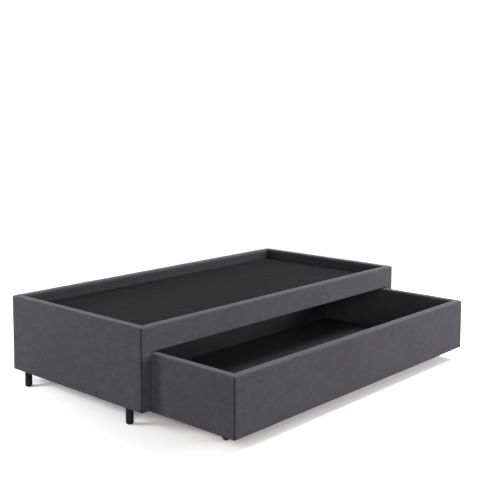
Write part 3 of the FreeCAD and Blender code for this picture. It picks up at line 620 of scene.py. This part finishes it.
def wood_material(name, axis):
    """Planed softwood whose grain runs along one axis, with growth rings, pores and small knots."""
    s = Shader(name)
    stretch = [30.0, 30.0, 30.0]
    stretch[axis] = 1.6
    fine = [420.0, 420.0, 420.0]
    fine[axis] = 9.0
    rings = s.noise(tuple(stretch), 3.0, 0.55, 1.4)
    bands = s.math("FRACT", s.math("MULTIPLY", rings, 7.0))
    late = s.span(bands, 0.55, 0.98, 0, 1)
    pores = s.noise(tuple(fine), 2.0, 0.6)
    knots = s.span(s.cells((5.0, 5.0, 5.0)), 0.03, 0.11, 1, 0)
    colour = s.mix(s.spread(rings, 0, 1), (0.60, 0.42, 0.24), (0.71, 0.53, 0.33))
    colour = s.mix(s.math("MULTIPLY", late, 0.55), colour, (0.42, 0.24, 0.11))
    colour = s.mix(s.span(pores, 0.45, 0.75, 0, 0.35), colour, (0.35, 0.2, 0.1))
    colour = s.mix(s.math("MULTIPLY", knots, 0.8), colour, (0.14, 0.07, 0.035))
    normal = s.bump(pores, 0.15 * MM, 0.5, s.bump(late, 0.2 * MM, 0.4))
    return s.set(Base_Color=colour, Roughness=s.spread(pores, 0.5, 0.72), Normal=normal)


def panel_material():
    """Bare fibreboard: pressed fibres and darker specks."""
    s = Shader("fibreboard")
    fibres = s.noise((160, 160, 160), 4.0, 0.65, 2.0)
    clouds = s.noise(5, 2.0)
    specks = s.span(s.cells(240), 0.1, 0.24, 1, 0)
    colour = s.mix(s.spread(clouds, 0, 1), (0.36, 0.25, 0.15), (0.46, 0.33, 0.21))
    colour = s.mix(s.span(fibres, 0.35, 0.7, 0, 0.6), colour, (0.55, 0.42, 0.28))
    colour = s.mix(s.math("MULTIPLY", specks, 0.4), colour, (0.16, 0.1, 0.06))
    return s.set(
        Base_Color=colour,
        Roughness=s.spread(fibres, 0.6, 0.8),
        Normal=s.bump(fibres, 0.1 * MM, 0.4),
    )


def plastic_material(name, colour, rough, scuffed):
    """Moulded plastic: fine grain of the mould, and scuffs that get denser towards the floor."""
    s = Shader(name)
    grain = s.noise(900, 2.0, 0.5)
    smear = s.noise((30, 30, 12), 3.0, 0.6, 0.5)
    scratches = s.span(s.noise((60, 60, 900), 2.0, 0.7), 0.62, 0.72, 0, 1)
    height = s.new("ShaderNodeSeparateXYZ")
    s.link(s.place, height.inputs["Vector"])
    low = s.span(height.outputs["Z"], 0.0, SCUFF_HIGH, scuffed, scuffed * 0.15)
    marks = s.math("MULTIPLY", scratches, low)
    tint = s.mix(s.spread(smear, 0, 1), tinted(colour, 0.85), tinted(colour, 1.2))
    tint = s.mix(marks, tint, SCUFF_GREY)
    polish = s.spread(smear, rough * 0.8, rough * 1.2)
    return s.set(
        Base_Color=tint,
        Roughness=s.math("ADD", polish, s.math("MULTIPLY", marks, 0.3)),
        Normal=s.bump(grain, 0.04 * MM, 0.35),
        Specular_IOR_Level=0.3,
    )


def painted_steel_material():
    """Black stove enamel on pressed steel, with orange peel and rubbed spots."""
    s = Shader("black_enamel")
    peel = s.noise(420, 2.0, 0.5)
    rubbed = s.span(s.noise(70, 4.0, 0.7), 0.66, 0.74, 0, 1)
    colour = s.mix(rubbed, (0.016, 0.016, 0.017), (0.28, 0.27, 0.26))
    return s.set(
        Base_Color=colour,
        Metallic=rubbed,
        Roughness=s.spread(peel, 0.28, 0.42),
        Normal=s.bump(peel, 0.05 * MM, 0.4),
    )


def zinc_material():
    """Bright zinc plating: drawn lines, cloudy dulling and a slight warm tint."""
    s = Shader("zinc_plate")
    clouds = s.noise(140, 3.0, 0.6)
    lines = s.noise((1800, 1800, 300), 2.0, 0.5)
    colour = s.mix(s.spread(clouds, 0, 1), (0.60, 0.60, 0.58), (0.74, 0.73, 0.70))
    rough = s.math("ADD", s.spread(clouds, 0.22, 0.36), s.spread(lines, 0, 0.1))
    return s.set(Base_Color=colour, Metallic=1.0, Roughness=rough, Normal=s.bump(lines, 0.03 * MM, 0.4))


def floor_material(near, far, glow, seen, bounced, lift):
    """A pale matt floor that turns evenly white away from the bed and throws little light back."""
    s = Shader("studio_floor")
    clouds = s.noise(1.5, 2.0)
    rays = s.new("ShaderNodeLightPath").outputs["Is Camera Ray"]
    pale = s.mix(clouds, (seen * 0.99,) * 3, (seen * 1.01,) * 3)
    colour = s.mix(rays, (bounced,) * 3, pale)
    distance = s.new("ShaderNodeVectorMath", operation="LENGTH")
    s.link(s.place, distance.inputs[0])
    white = s.new("ShaderNodeEmission")
    white.inputs["Strength"].default_value = glow
    either = s.new("ShaderNodeMixShader")
    share = s.span(distance.outputs["Value"], near, far, 0, 1)
    s.link(s.math("MULTIPLY", share, rays), either.inputs["Fac"])
    s.link(s.surface.outputs["BSDF"], either.inputs[1])
    s.link(white.outputs["Emission"], either.inputs[2])
    s.link(either.outputs["Shader"], s.output.inputs["Surface"])
    return s.set(
        Base_Color=colour,
        Roughness=0.9,
        Specular_IOR_Level=0.0,
        Emission_Color=(1, 1, 1, 1),
        Emission_Strength=s.math("MULTIPLY", rays, lift),
    )


def dress(obj, material):
    """Gives a mesh one material in place of its own."""
    obj.data.materials.clear()
    obj.data.materials.append(material)


# ---------------------------------------------------------------- the upholstery


SUEDE_LOOK = suede_material()


def finish_cover(obj, body, node):
    """Gives an upholstered wall its suede, its body and the CAD cover that it stands for."""
    dress(obj, SUEDE_LOOK)
    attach(obj, body)
    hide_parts(node)


def upholster(walls, body, profile, crown, first_seed):
    """Makes the plain walls of one body, each with its own seed."""
    for number, (side, node, half, centre, along_way, inward) in enumerate(walls):
        seed = first_seed + 10 * number
        wall = plain_wall(f"{side}_upholstery", profile, half, crown, seed, centre, along_way, inward)
        finish_cover(wall, body, node)


BED_WALLS = (
    ("head", "head_end_cover", BED_HALF_Y, (-HALF, BED_MID_Y, 0), ALONG_Y, (1, 0, 0)),
    ("foot", "foot_end_cover", BED_HALF_Y, (HALF, BED_MID_Y, 0), ALONG_Y, (-1, 0, 0)),
    ("rear", "rear_cover", HALF, (0, REAR_Y, 0), ALONG_X, (0, -1, 0)),
)
DRAWER_SIDES = (
    ("left", DRAWER_HALF_Y, (-DRAWER_HALF, DRAWER_MID_Y, 0), ALONG_Y, (1, 0, 0)),
    ("right", DRAWER_HALF_Y, (DRAWER_HALF, DRAWER_MID_Y, 0), ALONG_Y, (-1, 0, 0)),
    ("front", DRAWER_HALF, (0, DRAWER_FRONT, 0), ALONG_X, (0, 1, 0)),
    ("back", DRAWER_HALF, (0, DRAWER_BACK, 0), ALONG_X, (0, -1, 0)),
)
DRAWER_WALLS = [(f"drawer_{side}", f"drawer_{side}_cover", *rest) for side, *rest in DRAWER_SIDES]

upholster(BED_WALLS, "bed_frame", BED_PROFILE, BED_CROWN, 100)
finish_cover(front_wall(), "bed_frame", "front_cover")
upholster(DRAWER_WALLS, "trundle", DRAWER_PROFILE, DRAWER_CROWN, 200)


# ---------------------------------------------------------------- the deck's cloth


CLOTH = 0.9 * MM
CLOTH_FRAMES = 24
CLOTH_CLEAR = 0.15 * MM
CLOTH_SINK = 0.6 * MM
DECK_GAP = 1.2 * MM
DECK_CALM = 60 * MM
DECK_COLUMNS, DECK_ROWS = 190, 90
DECK_SEED = 31
DECK_RIPPLE, DECK_RIPPLE_SIZE = 0.9 * MM, 0.16
DECK_CRINKLE, DECK_CRINKLE_SIZE = 0.35 * MM, 0.06
BOARD_SPARE = 0.05


def run_cloth(obj, pins, frames, floor_z):
    """Lets a sheet settle under its own weight on a level board, held at its pinned points."""
    group = obj.vertex_groups.new(name="pins")
    group.add([int(i) for i in pins], 1.0, "REPLACE")
    cloth = obj.modifiers.new("cloth", "CLOTH")
    settings = cloth.settings
    settings.quality = 5
    settings.mass = 0.1
    settings.tension_stiffness = 30
    settings.compression_stiffness = 30
    settings.shear_stiffness = 10
    settings.bending_stiffness = 0.4
    settings.vertex_group_mass = group.name
    settings.shrink_min = -0.0035
    cloth.collision_settings.distance_min = 0.6 * MM
    cloth.collision_settings.use_self_collision = False
    cloth.point_cache.frame_start, cloth.point_cache.frame_end = 1, frames
    low, high = obj.bound_box[0], obj.bound_box[6]
    left, near = (low[i] - BOARD_SPARE for i in (0, 1))
    right, far = (high[i] + BOARD_SPARE for i in (0, 1))
    corners = [(left, near, floor_z), (right, near, floor_z), (right, far, floor_z), (left, far, floor_z)]
    board = bpy.data.meshes.new("board")
    board.from_pydata(corners, [], [(0, 1, 2, 3)])
    rest = bpy.data.objects.new("board", board)
    bpy.context.scene.collection.objects.link(rest)
    rest.modifiers.new("hit", "COLLISION")
    rest.collision.thickness_outer = 0.5 * MM
    scene = bpy.context.scene
    scene.frame_start, scene.frame_end = 1, frames
    for number in range(1, frames + 1):
        scene.frame_set(number)
    apply_modifiers(obj)
    scene.frame_set(1)
    bpy.data.objects.remove(rest)
    obj.vertex_groups.clear()


def deck_sheet():
    """The deck's black cloth, stretched between the rims over the panels and a little slack."""
    half_x = HALF - RIM - DECK_GAP
    low_y, high_y = FRONT_Y + RIM + DECK_GAP, REAR_Y - RIM - DECK_GAP
    x, y = np.meshgrid(np.linspace(-half_x, half_x, DECK_COLUMNS), np.linspace(low_y, high_y, DECK_ROWS))
    flat = np.stack([x, y, np.full_like(x, 0)], axis=-1)
    near = np.minimum(half_x - np.abs(x), np.minimum(y - low_y, high_y - y))
    free = smooth(near / DECK_CALM)
    ripples = DECK_RIPPLE * np.abs(waves(flat, DECK_RIPPLE_SIZE, DECK_SEED, stretch=(1.6, 1, 1)))
    ripples = ripples + DECK_CRINKLE * waves(flat, DECK_CRINKLE_SIZE, DECK_SEED + 1)
    height = DECK_TOP - CLOTH_SINK + free * np.maximum(ripples, 0)
    points = np.stack([x, y, height], axis=-1)
    skin = Skin()
    skin.add(points, {"thick": 1.0})
    obj = skin.build("deck_sheet")
    co = np.array([v.co for v in obj.data.vertices])
    to_end, to_side = half_x - np.abs(co[:, 0]), np.minimum(co[:, 1] - low_y, high_y - co[:, 1])
    edge = np.minimum(to_end, to_side) < MM
    run_cloth(obj, np.flatnonzero(edge), CLOTH_FRAMES, RIM_FOOT)
    lowest = RIM_FOOT + CLOTH + CLOTH_CLEAR
    for vertex in obj.data.vertices:
        vertex.co.z = max(vertex.co.z, lowest)
    solid = obj.modifiers.new("solid", "SOLIDIFY")
    solid.thickness = CLOTH
    solid.offset = -1
    apply_modifiers(obj)
    smooth_shaded(obj)
    return obj


BLACK_CLOTH = nonwoven_material("black_nonwoven_deck", DECK_BLACK)
deck = deck_sheet()
dress(deck, BLACK_CLOTH)
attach(deck, "bed_frame")
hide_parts("deck_cloth")


# ---------------------------------------------------------------- the drawer's lining


LINING_BEND = 7 * MM
LINING_CORNER = 5 * MM
LINING_STEP = 12 * MM
LINING_CALM = 50 * MM
LINING_FADE = 30 * MM
LINING_SHORT = 0.4 * MM
LINING_SEED = 41
FLOOR_RIPPLE, FLOOR_RIPPLE_SIZE = 1.4 * MM, 0.2
FLOOR_CRINKLE, FLOOR_CRINKLE_SIZE = 0.5 * MM, 0.07
WALL_RIPPLE, WALL_RIPPLE_SIZE = 1.1 * MM, 0.16
WALL_SLACK = 0.4 * MM


def spaced(half):
    """Distances across the lining's floor from its middle, with a few round each corner."""
    inner = half - LINING_CORNER
    ends = np.linspace(0, LINING_CORNER, 4)[1:]
    middle = np.linspace(-inner, inner, round(2 * inner / LINING_STEP))
    return np.concatenate([(-inner - ends)[::-1], middle, inner + ends])


def lining_sheet():
    """One cloth folded up the drawer's four walls, with soft corners."""
    half_x = DRAWER_HALF - DRAWER_WALL
    low_y, high_y = DRAWER_FRONT + DRAWER_WALL, DRAWER_BACK - DRAWER_WALL
    mid_y, half_y = (low_y + high_y) / 2, (high_y - low_y) / 2
    bend = LINING_BEND
    floor_x, floor_y = half_x - bend, half_y - bend
    turn_x, turn_y = floor_x - LINING_CORNER, floor_y - LINING_CORNER
    x, y = np.meshgrid(spaced(floor_x), spaced(floor_y))
    qx, qy = np.abs(x) - turn_x, np.abs(y) - turn_y
    in_corner = (qx > 0) & (qy > 0)
    share = np.where(in_corner, np.maximum(qx, qy) / np.maximum(np.hypot(qx, qy), 1e-9), 1.0)
    x = np.where(in_corner, np.sign(x) * (turn_x + qx * share), x)
    y = np.where(in_corner, np.sign(y) * (turn_y + qy * share), y)
    flat = np.stack([x, y, 0 * x], axis=-1)
    near = np.minimum(floor_x - np.abs(x), floor_y - np.abs(y))
    free = smooth(near / LINING_CALM)
    ripples = FLOOR_RIPPLE * waves(flat, FLOOR_RIPPLE_SIZE, LINING_SEED)
    ripples = ripples + FLOOR_CRINKLE * waves(flat, FLOOR_CRINKLE_SIZE, LINING_SEED + 1)
    height = LINING_LOW + free * np.abs(ripples)
    skin = Skin()
    floor = np.stack([x, y + mid_y, height], axis=-1)
    skin.add(floor, {"thick": 1.0})

    ring = np.concatenate([floor[0], floor[1:, -1], floor[-1, -2::-1], floor[-2:0:-1, 0], floor[:1, 0]])
    px, py = ring[:, 0], ring[:, 1] - mid_y
    ox, oy = np.maximum(np.abs(px) - turn_x, 0), np.maximum(np.abs(py) - turn_y, 0)
    ox = np.where(ox > oy * 50, 1, ox)
    oy = np.where(oy > np.maximum(ox, 1e-9) * 50, 1, oy)
    size = np.maximum(np.hypot(ox, oy), 1e-9)
    outward = np.column_stack([np.sign(px) * ox / size, np.sign(py) * oy / size, 0 * px])
    up = np.array((0, 0, 1.0))
    rows = []
    for angle in np.radians(np.linspace(0, 90, 6)):
        rows.append(ring + outward * bend * math.sin(angle) + up * bend * (1 - math.cos(angle)))
    for level in np.linspace(LINING_LOW + bend, LINING_TOP - LINING_SHORT, 22)[1:]:
        row = ring + outward * bend
        row[:, 2] = level
        rows.append(row)
    walls = np.array(rows)
    tall = smooth((walls[..., 2] - LINING_LOW - bend) / LINING_FADE)
    tall = tall * smooth((LINING_TOP - walls[..., 2]) / LINING_FADE)
    ripples = WALL_RIPPLE * waves(walls, WALL_RIPPLE_SIZE, LINING_SEED + 2, stretch=(1, 1, 2))
    sway = tall * np.maximum(ripples + WALL_SLACK, 0)
    walls = walls - outward[None] * sway[..., None]
    skin.add(walls, {"thick": 1.0}, flip=True)
    return skin.build("drawer_lining_cloth", CLOTH, 1.0)


lining = lining_sheet()
dress(lining, nonwoven_material("black_nonwoven_lining", LINING_BLACK))
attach(lining, "trundle")
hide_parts("drawer_lining")


# ---------------------------------------------------------------- what CAD keeps


WOOD = [wood_material(f"pine_along_{word}", axis) for axis, word in enumerate("xyz")]
LOOKS = {
    "panel_board": panel_material(),
    "leg_plastic": plastic_material("leg_plastic", LEG_BLACK, rough=0.3, scuffed=0.6),
    "wheel_nylon": plastic_material("wheel_nylon", WHEEL_BLACK, rough=0.45, scuffed=1.0),
    "caster_steel": painted_steel_material(),
    "zinc_steel": zinc_material(),
}


def longest(node):
    """The axis along which a CAD node is longest, which is the way its grain runs."""
    low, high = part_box(node)
    size = [high[i] - low[i] for i in range(3)]
    return size.index(max(size))


for row in frame["record"]["subparts"]:
    node, slot = row["node"], row["material_slot"]
    if slot == "pine":
        dress(frame["nodes"][node], WOOD[longest(node)])
    elif slot in LOOKS:
        dress(frame["nodes"][node], LOOKS[slot])


# ---------------------------------------------------------------- studio


FLOOR_REACH = 9.0
FLOOR_SAG = 0.5 * MM
WHITE_LEVEL = 1.05
SOFT_LEVEL = 0.38


def studio_floor(reach, sag):
    """A level disc a little under the feet, which fades into the white background well inside its rim."""
    work = bmesh.new()
    bmesh.ops.create_circle(work, cap_ends=True, radius=reach, segments=96)
    mesh = bpy.data.meshes.new("floor")
    work.to_mesh(mesh)
    work.free()
    mesh.transform(Matrix.Translation((0, 0, -sag)))
    obj = bpy.data.objects.new("floor", mesh)
    bpy.context.scene.collection.objects.link(obj)
    return obj


floor = studio_floor(FLOOR_REACH, FLOOR_SAG)
dress(floor, floor_material(near=1.7, far=3.2, glow=WHITE_LEVEL, seen=0.9, bounced=0.2, lift=0.03))


def lamp(name, place, target, size, watts):
    """A soft rectangular light that faces its target."""
    light = bpy.data.lights.new(name, "AREA")
    light.shape = "RECTANGLE"
    light.size, light.size_y = size
    light.energy = watts
    obj = bpy.data.objects.new(name, light)
    obj.location = place
    way = Vector(target) - Vector(place)
    obj.rotation_euler = way.to_track_quat("-Z", "Y").to_euler()
    bpy.context.scene.collection.objects.link(obj)


lamp("high_right", place=(2.4, -1.3, 3.6), target=(0.4, -0.3, 0.2), size=(2.2, 2.0), watts=400)
lamp("low_right", place=(3.2, -4.2, 1.2), target=(0.2, -0.3, 0.2), size=(2.2, 1.2), watts=272)
lamp("front_left", place=(-3.6, -2.6, 1.4), target=(-0.9, -0.3, 0.2), size=(1.6, 1.4), watts=132)
lamp("back_left", place=(-2.5, 1.5, 1.1), target=(-0.9, 0.2, 0.2), size=(0.9, 0.9), watts=60)
lamp("rear", place=(0.8, 4.8, 1.0), target=(0, 0.7, 0.25), size=(3.0, 1.2), watts=60)


def background(tree, strength):
    """A plain white surrounding light."""
    made = tree.nodes.new("ShaderNodeBackground")
    made.inputs["Color"].default_value = (1, 1, 1, 1)
    made.inputs["Strength"].default_value = strength
    return made.outputs["Background"]


def studio_world():
    """White where the camera sees it, and a softer, dimmer light on everything else."""
    world = bpy.data.worlds.new("studio")
    bpy.context.scene.world = world
    world.use_nodes = True
    tree = world.node_tree
    tree.nodes.clear()
    rays = tree.nodes.new("ShaderNodeLightPath")
    either = tree.nodes.new("ShaderNodeMixShader")
    output = tree.nodes.new("ShaderNodeOutputWorld")
    tree.links.new(rays.outputs["Is Camera Ray"], either.inputs["Fac"])
    tree.links.new(background(tree, SOFT_LEVEL), either.inputs[1])
    tree.links.new(background(tree, WHITE_LEVEL), either.inputs[2])
    tree.links.new(either.outputs["Shader"], output.inputs["Surface"])


studio_world()
bpy.context.scene.view_settings.view_transform = "Standard"

CAMERA_LENS = 65.85
CAMERA_SHIFT = -0.1388
CAMERA_PLACE = (-3.4457, -3.0570, 1.4120)
CAMERA_TILT = math.radians(85.5)
CAMERA_TURN = -0.8320

camera = bpy.data.cameras.new("camera")
camera.sensor_width = 36.0
camera.lens = CAMERA_LENS
camera.shift_y = CAMERA_SHIFT
camera.dof.use_dof = False
view_point = bpy.data.objects.new("camera", camera)
view_point.location = CAMERA_PLACE
view_point.rotation_euler = (CAMERA_TILT, 0.0, CAMERA_TURN)
bpy.context.scene.collection.objects.link(view_point)
bpy.context.scene.camera = view_point
